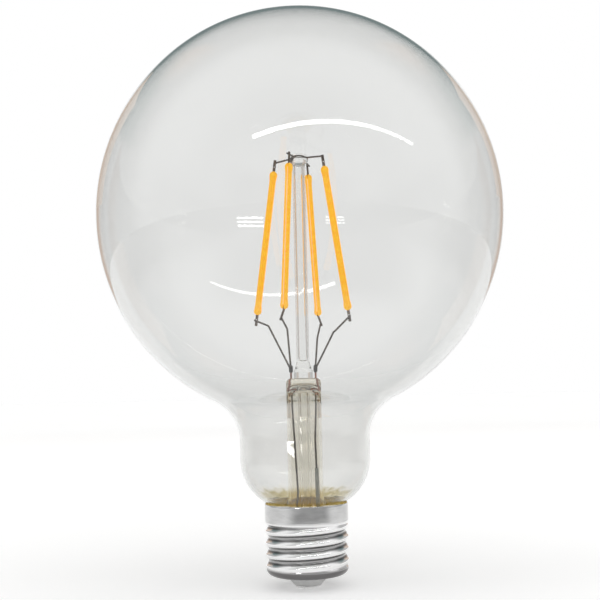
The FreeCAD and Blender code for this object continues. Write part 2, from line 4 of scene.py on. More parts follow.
import bmesh
import bpy
from mathutils import Matrix, Vector


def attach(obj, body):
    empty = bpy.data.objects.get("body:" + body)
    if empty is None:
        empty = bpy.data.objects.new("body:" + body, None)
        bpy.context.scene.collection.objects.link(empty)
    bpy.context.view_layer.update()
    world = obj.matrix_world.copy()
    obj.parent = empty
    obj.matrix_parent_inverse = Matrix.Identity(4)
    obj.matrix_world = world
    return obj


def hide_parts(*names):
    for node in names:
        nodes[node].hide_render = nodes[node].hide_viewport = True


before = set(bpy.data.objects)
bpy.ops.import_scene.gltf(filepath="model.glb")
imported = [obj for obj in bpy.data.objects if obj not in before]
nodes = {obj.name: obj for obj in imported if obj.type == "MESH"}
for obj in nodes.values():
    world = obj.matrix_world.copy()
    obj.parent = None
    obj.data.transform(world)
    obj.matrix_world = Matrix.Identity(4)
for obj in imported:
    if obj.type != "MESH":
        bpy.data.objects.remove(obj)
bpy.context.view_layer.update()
MM = 0.001
TAU = 2 * math.pi


# Sizes of the glass, in millimetres, as in the part's source, apart from the wider bore of the rod

GLOBE_RADIUS, GLOBE_HEIGHT, GLASS_WALL = 62.5, 114.5, 0.75
NECK_RADIUS, THROAT_BEND, SHOULDER_BEND = 20.3, 13.4, 15.4
TAIL_RADIUS, TAIL_BEND, TAIL_END = 11.4, 0.8, 20.8
COLLAR_TOP, TAIL_DROP = 26.3, 0.76
FLARE_RADIUS, FLARE_WALL = 5.45, 0.9
TRUMPET_BEND, TRUMPET_START = 7.5, 29.5
PRESS_START, PRESS_TAPER, PRESS_TOP, PRESS_HALF = 60.5, 3.3, 65.2, 3.03
DOME_RISE, PRESS_ROUND = 2.0, 1.5
EXHAUST_RADIUS, EXHAUST_BORE, EXHAUST_TIP = 1.85, 1.1, 16.5
ROD_RADIUS, ROD_BORE, ROD_FOOT = 1.95, 1.25, 2.93
ROD_FOOT_TOP, FOOT_MELT, ROD_NECK, ROD_NECK_RISE = 67.6, 0.2, 70.3, 0.6
FOOT_ROUND = [(0.03, 0.12), (0.12, 0.3), (0.24, 0.55)]
NECK_ROUND = [(0.1, -0.2), (0.04, 0.1)]
BUTTON_HEIGHT, BUTTON_RADIUS, BUTTON_HALF = 133.7, 3.05, 1.5
BUTTON_SEAT, BUTTON_FILLET, BUTTON_DOME, BORE_TIP = 2.15, 0.35, 0.2, 0.5
FUSED_GAP = 0.03

# Sizes of the screw cap

SHEET, COLLAR_RADIUS, LIP_ROUND = 0.3, 13.05, 0.12
THREAD_TOP, THREAD_BOTTOM = 21.0, 6.2
THREAD_CREST, THREAD_ROOT = 13.1, 12.05
THREAD_PITCH, THREAD_PHASE, THREAD_RUNOUT = 3.629, 1.37, 1.8
FOOT_RADIUS, FOOT_BEND = 12.9, 2.2
MOUTH_RADIUS, MOUTH_HEIGHT = 6.5, 3.4
CEMENT_HOLE, CEMENT_BOTTOM, CEMENT_TOP, CEMENT_SIDE = 6.4, 19.9, 26.1, 11.7
CEMENT_STEP, CEMENT_RISE, CEMENT_GAP, CEMENT_DISH = 0.3, 2.6, 0.08, 0.25

# Sizes of the wires and filaments

SEAL_OFFSET, KNOT_BOTTOM, KNOT_TOP, KNOT_RADIUS = 3.85, 66.9, 69.4, 0.62
LEAD_RADIUS, JUMPER_RADIUS = 0.3, 0.27
FILAMENT_ANGLE = {"right": -20.4, "back": 69.6, "left": 159.6, "front": 249.6}
FILAMENT_LENGTH, FOOT_OUT, FOOT_UP, HEAD_OUT = 45.6, 15.2, 85.7, 8.4
TAB_HALF, TAB_INSIDE, TAB_PAST = 0.2, 1.4, 0.6
TAB_GRIP = {"right": 1.8, "back": 3.0, "left": 1.8, "front": 3.0}
TAB_LEAN = {"right": 0, "back": -18, "left": 0, "front": -18}
LEAD_SIDE = {"right": -1, "back": 1, "left": 1, "front": 1}
LEAD_BEND = {"right": 4.0, "back": 1.6, "left": 1.6, "front": 1.6}
LEAD_BEND_DROP = {"right": 2.2, "back": 4.4, "left": 1.3, "front": 2.2}
LEAD_BEND_OUT = {"right": 7.8, "back": 10.8, "left": 10.8, "front": 10.8}
LEAD_SPREAD = 0.32
SEAL_BOTTOM, SEAL_LAP, SEAL_BOW, SEAL_STEPS = 60.6, 0.1, 0.12, 16
JUMPER_BEND, JUMPER_INSET, JUMPER_STEP = 1.2, 0.85, 0.2
JUMPER_FUSED, BUTTON_SKIN = 0.35, 0.2
WIRE_SIDES, WIRE_STEP = 16, 0.25
STRIP_EDGE = 0.06
CHIP_COUNT, CHIP_SIZE = 14, (0.5, 0.18, 0.9)
COAT_BEAT = 3.06

# Angles in degrees over which an edge is kept sharp, or is rounded on the strips

GLASS_EDGE, SHELL_EDGE, CEMENT_EDGE = 60, 50, 40
WIRE_EDGE, CHIP_EDGE, COPY_EDGE, STRIP_SHARP = 50, 40, 35, 60
STRIP_HARD = 50


# Node helpers

class Nodes:
    """Adds and links nodes of one tree, with short calls for maths."""

    def __init__(self, tree):
        self.tree = tree

    def add(self, kind, inputs=None, **settings):
        node = self.tree.nodes.new(kind)
        for name, value in settings.items():
            setattr(node, name, value)
        for key, value in (inputs or {}).items():
            self.put(node.inputs[key], value)
        return node

    def put(self, socket, value):
        if isinstance(value, bpy.types.NodeSocket):
            self.tree.links.new(value, socket)
        elif value is not None:
            socket.default_value = value

    def math(self, operation, a, b=None):
        return self.add("ShaderNodeMath", {0: a, 1: b}, operation=operation).outputs[0]

    def whole(self, operation, a, b):
        return self.add("FunctionNodeIntegerMath", {0: a, 1: b}, operation=operation).outputs[0]

    def ramp(self, factor, stops):
        node = self.add("ShaderNodeValToRGB", {"Fac": factor})
        ramp = node.color_ramp
        while len(ramp.elements) < len(stops):
            ramp.elements.new(0.5)
        for element, (place, color) in zip(ramp.elements, stops):
            element.position = place
            element.color = (*color, 1)
        return node.outputs["Color"]

    def remap(self, value, low, high, to_low, to_high, style="LINEAR"):
        inputs = {0: value, 1: low, 2: high, 3: to_low, 4: to_high}
        return self.add("ShaderNodeMapRange", inputs, interpolation_type=style).outputs[0]

    def band(self, value, rise, fall, after=0.0, style="SMOOTHSTEP"):
        """0 before a rise, 1 up to a fall, and what is left after it."""
        up = self.remap(value, *rise, 0.0, 1.0, style)
        return self.math("MULTIPLY", up, self.remap(value, *fall, 1.0, after, style))

    def mix(self, share, first, second):
        inputs = {"Factor": share, 6: first, 7: second}
        return self.add("ShaderNodeMix", inputs, data_type="RGBA").outputs[2]


# Geometry Nodes trees

def start_tree(name, sizes):
    """New tree with a geometry input, the named sizes, and a material."""
    tree = bpy.data.node_groups.new(name, "GeometryNodeTree")
    face = tree.interface
    face.new_socket("Geometry", in_out="INPUT", socket_type="NodeSocketGeometry")
    for label, kind in sizes:
        face.new_socket(label, in_out="INPUT", socket_type=kind)
    face.new_socket("Material", in_out="INPUT", socket_type="NodeSocketMaterial")
    face.new_socket("Geometry", in_out="OUTPUT", socket_type="NodeSocketGeometry")
    n = Nodes(tree)
    return tree, n, n.add("NodeGroupInput").outputs


def end_tree(n, geometry, given):
    """Smooth shading, real geometry and the material, to the tree's output."""
    smooth = n.add("GeometryNodeSetShadeSmooth", {"Geometry": geometry})
    real = n.add("GeometryNodeRealizeInstances", {"Geometry": smooth.outputs[0]})
    named = n.add("GeometryNodeSetMaterial", {"Geometry": real.outputs[0], "Material": given["Material"]})
    n.add("NodeGroupOutput", {"Geometry": named.outputs[0]})


def lathe_core(n, given):
    """Grid of one row per drawn point and one column per step round the axis."""
    columns = n.whole("ADD", given["Segments"], 1)
    grid = n.add("GeometryNodeMeshGrid", {"Vertices X": given["Rings"], "Vertices Y": columns})
    index = n.add("GeometryNodeInputIndex").outputs[0]
    row = n.whole("DIVIDE", index, columns)
    column = n.whole("MODULO", index, columns)
    position = n.add("GeometryNodeInputPosition").outputs[0]
    inputs = {"Geometry": given["Geometry"], "Value": position, "Index": row}
    drawn = n.add("GeometryNodeSampleIndex", inputs, data_type="FLOAT_VECTOR", domain="POINT")
    parts = n.add("ShaderNodeSeparateXYZ", {0: drawn.outputs[0]}).outputs
    angle = n.math("MULTIPLY", n.math("DIVIDE", column, given["Segments"]), TAU)
    return grid.outputs["Mesh"], parts["X"], parts["Z"], angle


def lathe_close(n, given, grid, radius, height, angle, flat=1.0):
    """Puts the grid round the axis, flattened front to back by a share, and closes its seam."""
    x = n.math("MULTIPLY", radius, n.math("COSINE", angle))
    y = n.math("MULTIPLY", n.math("MULTIPLY", radius, n.math("SINE", angle)), flat)
    place = n.add("ShaderNodeCombineXYZ", {0: x, 1: y, 2: height}).outputs[0]
    turned = n.add("GeometryNodeSetPosition", {"Geometry": grid, "Position": place})
    closed = n.add("GeometryNodeMergeByDistance", {"Geometry": turned.outputs[0], "Distance": 2e-6})
    end_tree(n, closed.outputs[0], given)


COUNTS = [("Rings", "NodeSocketInt"), ("Segments", "NodeSocketInt")]


def lathe_tree():
    """Drawn outline turned about the bulb's axis."""
    tree, n, given = start_tree("turned outline", COUNTS)
    grid, radius, height, angle = lathe_core(n, given)
    lathe_close(n, given, grid, radius, height, angle)
    return tree


def thread_tree():
    """Turned sheet with a helical wave rolled into it between two heights."""
    names = ["Bottom", "Top", "Run-out", "Pitch", "Phase", "Crest", "Root", "Plain low", "Plain high"]
    tree, n, given = start_tree("rolled thread", COUNTS + [(name, "NodeSocketFloat") for name in names])
    grid, radius, height, angle = lathe_core(n, given)
    middle = n.math("MULTIPLY", n.math("ADD", given["Crest"], given["Root"]), 0.5)
    depth = n.math("MULTIPLY", n.math("SUBTRACT", given["Crest"], given["Root"]), 0.5)
    along = n.math("DIVIDE", n.math("SUBTRACT", height, given["Phase"]), given["Pitch"])
    wave = n.math("COSINE", n.math("SUBTRACT", n.math("MULTIPLY", along, TAU), angle))
    plain = n.remap(height, given["Bottom"], given["Top"], given["Plain low"], given["Plain high"])
    low_end = n.math("ADD", given["Bottom"], given["Run-out"])
    high_end = n.math("SUBTRACT", given["Top"], given["Run-out"])
    low = n.remap(height, given["Bottom"], low_end, 0.0, 1.0, "SMOOTHSTEP")
    high = n.remap(height, high_end, given["Top"], 1.0, 0.0, "SMOOTHSTEP")
    rolled = n.math("SUBTRACT", n.math("ADD", middle, n.math("MULTIPLY", depth, wave)), plain)
    shift = n.math("MULTIPLY", n.math("MULTIPLY", rolled, low), high)
    lathe_close(n, given, grid, n.math("ADD", radius, shift), height, angle)
    return tree


def press_tree():
    """Turned tube whose top is pressed flat, front to back."""
    names = ["Press start", "Press taper", "Press ratio"]
    tree, n, given = start_tree("pressed tube", COUNTS + [(name, "NodeSocketFloat") for name in names])
    grid, radius, height, angle = lathe_core(n, given)
    full = n.math("ADD", given["Press start"], given["Press taper"])
    flat = n.remap(height, given["Press start"], full, 1.0, given["Press ratio"], "SMOOTHSTEP")
    lathe_close(n, given, grid, radius, height, angle, flat)
    return tree


def wire_tree():
    """Round wire along a drawn curve, with closed ends."""
    sizes = [("Radius", "NodeSocketFloat"), ("Sides", "NodeSocketInt"), ("Step", "NodeSocketFloat")]
    tree, n, given = start_tree("drawn wire", sizes)
    inputs = {"Curve": given["Geometry"], "Length": given["Step"]}
    even = n.add("GeometryNodeResampleCurve", inputs, mode="LENGTH")
    inputs = {"Resolution": given["Sides"], "Radius": given["Radius"]}
    ring = n.add("GeometryNodeCurvePrimitiveCircle", inputs)
    width = n.add("GeometryNodeInputRadius").outputs[0]
    inputs = {"Curve": even.outputs[0], "Profile Curve": ring.outputs[0], "Scale": width, "Fill Caps": True}
    end_tree(n, n.add("GeometryNodeCurveToMesh", inputs).outputs[0], given)
    return tree


def chip_row_tree():
    """Light emitting chips in a row on both faces of a strip."""
    sizes = [("Count", "NodeSocketInt"), ("Turn", "NodeSocketRotation")]
    sizes += [(name, "NodeSocketVector") for name in ("Start", "Step", "Chip size", "Across")]
    tree, n, given = start_tree("chip row", sizes)
    chip = n.add("GeometryNodeMeshCube", {"Size": given["Chip size"]})
    rows = n.add("GeometryNodeJoinGeometry")
    for side in (1.0, -1.0):
        inputs = {0: given["Across"], "Scale": side}
        lift = n.add("ShaderNodeVectorMath", inputs, operation="SCALE").outputs[0]
        first = n.add("ShaderNodeVectorMath", {0: given["Start"], 1: lift}, operation="ADD").outputs[0]
        inputs = {"Count": given["Count"], "Start Location": first, "Offset": given["Step"]}
        line = n.add("GeometryNodeMeshLine", inputs)
        inputs = {"Points": line.outputs[0], "Instance": chip.outputs[0], "Rotation": given["Turn"]}
        placed = n.add("GeometryNodeInstanceOnPoints", inputs)
        n.tree.links.new(placed.outputs[0], rows.inputs[0])
    end_tree(n, rows.outputs[0], given)
    return tree


def grow(name, tree, data, material, sizes):
    """Runs a tree on drawn data and returns the finished plain mesh as an object at the origin."""
    drawn = bpy.data.objects.new(name + "_drawn", data)
    bpy.context.scene.collection.objects.link(drawn)
    modifier = drawn.modifiers.new("tree", "NODES")
    modifier.node_group = tree
    values = dict(sizes, Material=material)
    for item in tree.interface.items_tree:
        if item.in_out == "INPUT" and item.name in values:
            modifier[item.identifier] = values[item.name]
    shaped = drawn.evaluated_get(bpy.context.evaluated_depsgraph_get())
    mesh = bpy.data.meshes.new_from_object(shaped)
    drawn.modifiers.remove(modifier)
    bpy.data.objects.remove(drawn)
    mesh.name = name
    piece = bpy.data.objects.new(name, mesh)
    bpy.context.scene.collection.objects.link(piece)
    return piece


# Mesh helpers

def drawn_line(name, points):
    """Drawn outline as a mesh of points and edges, in metres."""
    mesh = bpy.data.meshes.new(name)
    edges = [(k, k + 1) for k in range(len(points) - 1)]
    mesh.from_pydata([(r * MM, 0, z * MM) for r, z in points], edges, [])
    return mesh


def arc(center, start, end, count):
    """Points of an arc from one point to another, the shorter way round, both ends included."""
    radius = math.hypot(start[0] - center[0], start[1] - center[1])
    first = math.atan2(start[1] - center[1], start[0] - center[0])
    turn = math.atan2(end[1] - center[1], end[0] - center[0]) - first
    turn = (turn + math.pi) % TAU - math.pi
    angles = [first + turn * k / count for k in range(count + 1)]
    return [(center[0] + radius * math.cos(a), center[1] + radius * math.sin(a)) for a in angles]


def run(start, end, count):
    """Points of a straight run in even steps, both ends included."""
    return [(start[0] + (end[0] - start[0]) * k / count, start[1] + (end[1] - start[1]) * k / count)
            for k in range(count + 1)]


def joined(*runs):
    """Runs of points in a row, without the doubled points where they meet."""
    points = []
    for item in runs:
        for point in item:
            if not points or math.dist(points[-1], point) > 1e-6:
                points.append(point)
    return points


def tidy(piece, sharp):
    """Clean closed mesh: no flat faces, no loose edges, faces outwards, smooth up to an angle."""
    made = bmesh.new()
    made.from_mesh(piece.data)
    bmesh.ops.remove_doubles(made, verts=made.verts, dist=1e-6)
    bmesh.ops.dissolve_degenerate(made, edges=made.edges, dist=1e-7)
    loose = [edge for edge in made.edges if not edge.link_faces]
    bmesh.ops.delete(made, geom=loose, context="EDGES")
    alone = [vert for vert in made.verts if not vert.link_faces]
    bmesh.ops.delete(made, geom=alone, context="VERTS")
    if made.calc_volume(signed=True) < 0:
        bmesh.ops.reverse_faces(made, faces=made.faces)
    made.to_mesh(piece.data)
    made.free()
    for polygon in piece.data.polygons:
        polygon.use_smooth = True
    piece.data.set_sharp_from_angle(angle=math.radians(sharp))
    return piece


def adopt(piece, slot, *replaced):
    """The piece rides on the bulb and stands for CAD nodes, which are hidden. The slot is not used."""
    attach(piece, "root")
    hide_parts(*replaced)
    return piece


def turned_piece(name, tree, points, material, slot, replaced, segments, sharp, **sizes):
    """Piece turned from a drawn outline in millimetres, in the place of a CAD node."""
    sizes = dict(sizes, Rings=len(points), Segments=segments)
    piece = grow(name, tree, drawn_line(name + "_outline", points), material, sizes)
    adopt(tidy(piece, sharp), slot, replaced)


def stepped(points, step):
    """The same drawn line with points no further apart than a step."""
    more = [Vector(points[0])]
    for start, end in zip(points, points[1:]):
        start, end = Vector(start), Vector(end)
        count = max(1, math.ceil((end - start).length / step))
        more += [start.lerp(end, k / count) for k in range(1, count + 1)]
    return more


def wire_piece(name, points, radius, material, slot, replaced, widths=None):
    """Wire along points given in millimetres, with a share of its full width at each of them."""
    curve = bpy.data.curves.new(name + "_route", "CURVE")
    curve.dimensions = "3D"
    spline = curve.splines.new("POLY")
    spline.points.add(len(points) - 1)
    for point, place, width in zip(spline.points, points, widths or [1.0] * len(points)):
        point.co = (*(Vector(place) * MM), 1)
        point.radius = width
    sizes = {"Radius": radius * MM, "Sides": WIRE_SIDES, "Step": WIRE_STEP * MM}
    adopt(tidy(grow(name, WIRE, curve, material, sizes), WIRE_EDGE), slot, replaced)


def soften(piece, width):
    """Rounds the hard edges of a merged piece by a width in millimetres."""
    made = bmesh.new()
    made.from_mesh(piece.data)
    limit = math.radians(STRIP_HARD)
    hard = [edge for edge in made.edges if edge.is_manifold and edge.calc_face_angle() > limit]
    bmesh.ops.bevel(made, geom=hard, offset=width * MM, segments=2, profile=0.5, affect="EDGES")
    made.to_mesh(piece.data)
    made.free()
    tidy(piece, STRIP_SHARP)


def smooth_copy(name, node, material, slot):
    """Copy of a CAD node with its points merged and smooth shading, in its place."""
    mesh = nodes[node].data.copy()
    mesh.materials.clear()
    mesh.materials.append(material)
    piece = bpy.data.objects.new(name, mesh)
    bpy.context.scene.collection.objects.link(piece)
    return adopt(tidy(piece, COPY_EDGE), slot, node)


# Materials

def material(name):
    """Empty node material: its node helper, shader and output."""
    made = bpy.data.materials.new(name)
    made.use_nodes = True
    made.node_tree.nodes.clear()
    n = Nodes(made.node_tree)
    shader = n.add("ShaderNodeBsdfPrincipled")
    out = n.add("ShaderNodeOutputMaterial", {"Surface": shader.outputs[0]})
    return made, n, shader, out


def object_noise(n, scale, detail=3.0, stretch=(1, 1, 1)):
    """Cloudy pattern fixed to the piece, drawn out along its axes by a stretch."""
    place = n.add("ShaderNodeTexCoord").outputs["Object"]
    inputs = {"Vector": place, "Scale": stretch}
    moved = n.add("ShaderNodeMapping", inputs).outputs[0]
    return n.add("ShaderNodeTexNoise", {"Vector": moved, "Scale": scale, "Detail": detail}).outputs[0]


def bump(n, shader, height, strength, distance):
    """Relief of a pattern on the shader's surface."""
    inputs = {"Height": height, "Strength": strength, "Distance": distance}
    n.put(shader.inputs["Normal"], n.add("ShaderNodeBump", inputs).outputs[0])


def glass(name, color, density, depth_color, ripple, wave_size):
    """Clear drawn glass: slight tint, absorption along thick paths, and a faint ripple."""
    made, n, shader, out = material(name)
    shader.inputs["Base Color"].default_value = (*color, 1)
    shader.inputs["Roughness"].default_value = 0.0
    shader.inputs["IOR"].default_value = 1.5
    shader.inputs["Transmission Weight"].default_value = 1.0
    inside = n.add("ShaderNodeVolumeAbsorption", {"Color": (*depth_color, 1), "Density": density})
    n.put(out.inputs["Volume"], inside.outputs[0])
    bump(n, shader, object_noise(n, wave_size, 1.0, (1, 1, 0.4)), ripple, 0.002)
    return made


def metal(name, dark, light, rough_low, rough_high, grain, stretch=(1, 1, 1), relief=0.05):
    """Bare or plated metal with cloudy tone, uneven polish and fine relief."""
    made, n, shader, _ = material(name)
    cloud = object_noise(n, grain, 4.0, stretch)
    n.put(shader.inputs["Base Color"], n.ramp(cloud, [(0.35, dark), (0.65, light)]))
    n.put(shader.inputs["Roughness"], n.remap(cloud, 0.3, 0.7, rough_low, rough_high))
    shader.inputs["Metallic"].default_value = 1.0
    bump(n, shader, object_noise(n, grain * 6, 2.0, stretch), relief, 0.0002)
    return made


def dull(name, dark, light, rough_low, rough_high, grain, relief, relief_grain):
    """Matt or satin body with mottled colour and relief."""
    made, n, shader, _ = material(name)
    cloud = object_noise(n, grain, 4.0)
    n.put(shader.inputs["Base Color"], n.ramp(cloud, [(0.3, dark), (0.7, light)]))
    n.put(shader.inputs["Roughness"], n.remap(cloud, 0.3, 0.7, rough_low, rough_high))
    bump(n, shader, object_noise(n, relief_grain, 3.0), relief, 0.0003)
    return made


def surface(made):
    """Node helper and surface shader of a finished material."""
    shader = next(node for node in made.node_tree.nodes if node.type == "BSDF_PRINCIPLED")
    return Nodes(made.node_tree), shader


def tint(made, stops):
    """Glass colour by height, in pairs of mm and colour, with cloudy borders between them."""
    n, shader = surface(made)
    start, end = stops[0][0], stops[-1][0]
    place = n.add("ShaderNodeTexCoord").outputs["Object"]
    split = n.add("ShaderNodeSeparateXYZ", {0: place}).outputs
    cloud = object_noise(n, TINT_GRAIN, 4.0)
    height = n.math("ADD", split[2], n.remap(cloud, 0.3, 0.7, -TINT_SWAY * MM, TINT_SWAY * MM))
    share = n.remap(height, start * MM, end * MM, 0.0, 1.0)
    color = n.ramp(share, [((level - start) / (end - start), shade) for level, shade in stops])
    n.put(shader.inputs["Base Color"], color)
    return cloud, split[1], height


def paint_cement_band(made, cloud, depth, height):
    """Band of amber painted into the back of the tail glass, mottled by the cloud that sways its borders.
    Its amber is the cement's own colour; putting it on the back only is painted light, standing in for the
    lit cement seen through the glass.
    """
    n, shader = surface(made)
    color = shader.inputs["Base Color"].links[0].from_socket
    rise, fall = [(low * MM, high * MM) for low, high in CEMENT_PAINT_BAND]
    behind = n.remap(depth, CEMENT_PAINT_DEPTH[0] * MM, CEMENT_PAINT_DEPTH[1] * MM, 0.0, 1.0, "SMOOTHSTEP")
    share = n.math("MULTIPLY", n.band(height, rise, fall, style="LINEAR"), behind)
    mottled = n.ramp(cloud, [(0.38, DEEP_CEMENT_PAINT), (0.62, FAINT_CEMENT_PAINT)])
    n.put(shader.inputs["Base Color"], n.mix(share, color, mottled))


def paint_thread_glints_and_shade(made):
    """Painted light and shade on the shell below the collar: painted highlights on the crests, painted
    shade on the flanks and in the grooves, and painted shade on the rolled foot.
    """
    n, shader = surface(made)
    unpainted_metal = shader.inputs["Base Color"].links[0].from_socket
    place = n.add("ShaderNodeTexCoord").outputs["Object"]
    height = n.add("ShaderNodeSeparateXYZ", {0: place}).outputs[2]
    flat = n.add("ShaderNodeVectorMath", {0: place, 1: (1, 1, 0)}, operation="MULTIPLY").outputs[0]
    reach = n.add("ShaderNodeVectorMath", {0: flat}, operation="LENGTH").outputs["Value"]
    share = n.remap(reach, THREAD_ROOT * MM, THREAD_CREST * MM, 0.0, 1.0)
    # Tones by distance from the axis: painted shade towards the root, painted highlight on the crest.
    painted_glints_and_shade = n.ramp(share, [(stop, (tone,) * 3) for stop, tone in THREAD_GLINTS_AND_SHADE])
    below = n.remap(height, (THREAD_TOP - COLLAR_FADE) * MM, THREAD_TOP * MM, 1.0, 0.0, "SMOOTHSTEP")
    low, high = [(THREAD_BOTTOM + border) * MM for border in FOOT_SHADE]
    foot = n.remap(height, low, high, 1.0, 0.0, "SMOOTHSTEP")
    color = n.mix(foot, n.mix(below, unpainted_metal, painted_glints_and_shade), FOOT_SHADE_GREY)
    n.put(shader.inputs["Base Color"], color)


def add_painted_glow(made, color, strength):
    """Painted glow: a slight light given off by the material, though it is no lamp."""
    shader = surface(made)[1]
    shader.inputs["Emission Color"].default_value = (*color, 1)
    shader.inputs["Emission Strength"].default_value = strength


NECK_TINT, GLOBE_TINT = (0.900, 0.896, 0.887), (0.945, 0.942, 0.937)
# The deep and faint amber band colours on the line below are painted light: lit cement painted into the
# back of the tail glass.
CLEAR_TINT, DEEP_CEMENT_PAINT, FAINT_CEMENT_PAINT = (0.99, 0.97, 0.92), (0.50, 0.40, 0.15), (0.74, 0.66, 0.45)
TINT_GRAIN, TINT_SWAY = 420, 1.0
# The band's heights and its depth towards the back set where that painted light sits.
CEMENT_PAINT_BAND, CEMENT_PAINT_DEPTH = [(25.0, 26.0), (27.6, 29.6)], (-2.0, 5.0)
GLOBE_TINTS = [(25.0, CLEAR_TINT), (27.0, CLEAR_TINT), (31.0, NECK_TINT), (54.0, NECK_TINT),
               (70.0, GLOBE_TINT)]
STEM_TINT = (0.93, 0.915, 0.87)
STEM_TINTS = [(23.0, (0.97, 0.93, 0.80)), (27.0, (0.93, 0.86, 0.68)), (31.0, STEM_TINT)]
# Painted light and shade on the thread: tones from root to crest, dark in the grooves and bright on the
# crests. The rolled foot is darkened with a painted shade grey.
THREAD_GLINTS_AND_SHADE = [(0.0, 0.42), (0.2, 0.12), (0.4, 0.35), (0.65, 0.94)]
COLLAR_FADE, FOOT_SHADE, FOOT_SHADE_GREY = 0.5, (-0.4, 0.9), (0.17, 0.165, 0.165, 1)

GLOBE_GLASS = glass("globe glass", GLOBE_TINT, 300.0, (0.77, 0.795, 0.79), 0.015, 25.0)
# Painted light: the look of lit amber cement, painted into the back of the tail glass.
paint_cement_band(GLOBE_GLASS, *tint(GLOBE_GLASS, GLOBE_TINTS))
STEM_GLASS = glass("stem glass", STEM_TINT, 60.0, (0.88, 0.80, 0.60), 0.02, 40.0)
tint(STEM_GLASS, STEM_TINTS)
ROD_GLASS = glass("rod glass", (0.985, 0.985, 0.98), 10.0, (0.80, 0.82, 0.78), 0.005, 20.0)
SHELL_NICKEL = metal("bright nickel shell", (0.52,) * 3, (0.66,) * 3, 0.08, 0.17, 120, (1, 1, 3))
# Painted highlights and painted shade on the thread and its foot.
paint_thread_glints_and_shade(SHELL_NICKEL)
CONTACT_TIN = metal("tinned contact", (0.82, 0.82, 0.81), (0.93, 0.93, 0.92), 0.22, 0.38, 300)
NICKEL_WIRE = metal("nickel wire", (0.09, 0.078, 0.068), (0.23, 0.20, 0.175), 0.28, 0.45, 900)
COPPER_WIRE = metal("oxidised copper", (0.30, 0.11, 0.07), (0.58, 0.26, 0.17), 0.28, 0.48, 700)
TAB_STEEL = metal("stamped tab", (0.10, 0.072, 0.055), (0.26, 0.20, 0.155), 0.30, 0.48, 700)
CAN_METAL = metal("capacitor can", (0.45, 0.46, 0.47), (0.62, 0.63, 0.64), 0.3, 0.4, 400)
WELD_SCALE = dull("burnt weld", (0.015, 0.013, 0.012), (0.07, 0.06, 0.05), 0.45, 0.7, 900, 0.6, 2500)
SLEEVE_WHITE = dull("woven sleeve", (0.66, 0.74, 0.73), (0.84, 0.88, 0.87), 0.5, 0.7, 900, 0.3, 4000)
INSULATOR_PALE = dull("pale insulator", (0.80, 0.80, 0.79), (0.90, 0.90, 0.89), 0.35, 0.5, 250, 0.1, 1500)
CEMENT_AMBER = dull("amber cement", (0.74, 0.48, 0.09), (0.95, 0.74, 0.24), 0.55, 0.8, 350, 0.5, 1500)
# Painted glow: the cement gives off a faint light that brightens it where it sits in shade under the glass.
add_painted_glow(CEMENT_AMBER, (0.66, 0.50, 0.13), 0.25)
CHIP_BLUE = dull("light chip", (0.45, 0.55, 0.75), (0.65, 0.75, 0.9), 0.15, 0.3, 900, 0.05, 3000)
BOARD_GREEN = dull("board mask", (0.02, 0.12, 0.05), (0.04, 0.2, 0.08), 0.3, 0.45, 300, 0.1, 2000)
CASE_BLACK = dull("moulded case", (0.012, 0.012, 0.012), (0.03, 0.03, 0.03), 0.45, 0.6, 500, 0.2, 3000)
RESISTOR_COAT = dull("resistor coat", (0.16, 0.25, 0.30), (0.24, 0.35, 0.40), 0.4, 0.55, 500, 0.15, 2500)
STRIP_CERAMIC = dull("ceramic strip", (0.95, 0.72, 0.45), (1.0, 0.85, 0.62), 0.5, 0.65, 600, 0.1, 3000)
# Painted glow: the strip gives off light that brightens it where it lies in shade between the halves of the
# coat.
add_painted_glow(STRIP_CERAMIC, (1.0, 0.62, 0.25), 0.45)


def phosphor():
    """Silicone coat with yellow phosphor: deeper orange in the dips between the chips."""
    made, n, shader, _ = material("phosphor coat")
    place = n.add("ShaderNodeTexCoord").outputs["Object"]
    height = n.add("ShaderNodeSeparateXYZ", {0: place}).outputs[2]
    beat = n.math("SINE", n.math("MULTIPLY", height, TAU / (COAT_BEAT * MM)))
    grain = object_noise(n, 1400, 4.0)
    tone = n.math("ADD", n.math("MULTIPLY", beat, 0.06), grain)
    stops = [(0.25, (0.94, 0.34, 0.0)), (0.55, (0.99, 0.49, 0.01)), (0.8, (1.0, 0.60, 0.04))]
    n.put(shader.inputs["Base Color"], n.ramp(tone, stops))
    n.put(shader.inputs["Roughness"], n.remap(grain, 0.3, 0.7, 0.38, 0.55))
    shader.inputs["Subsurface Weight"].default_value = 0.15
    shader.inputs["Subsurface Radius"].default_value = (1.0, 0.45, 0.1)
    shader.inputs["Subsurface Scale"].default_value = 0.0006
    # Glow of the coat: partly the phosphor's real fluorescence under the studio light, partly painted glow
    # that brightens the coat.
    add_painted_glow(made, (1.0, 0.52, 0.0), 0.62)
    bump(n, shader, tone, 0.25, 0.0002)
    return made


PHOSPHOR = phosphor()


# Glass pieces

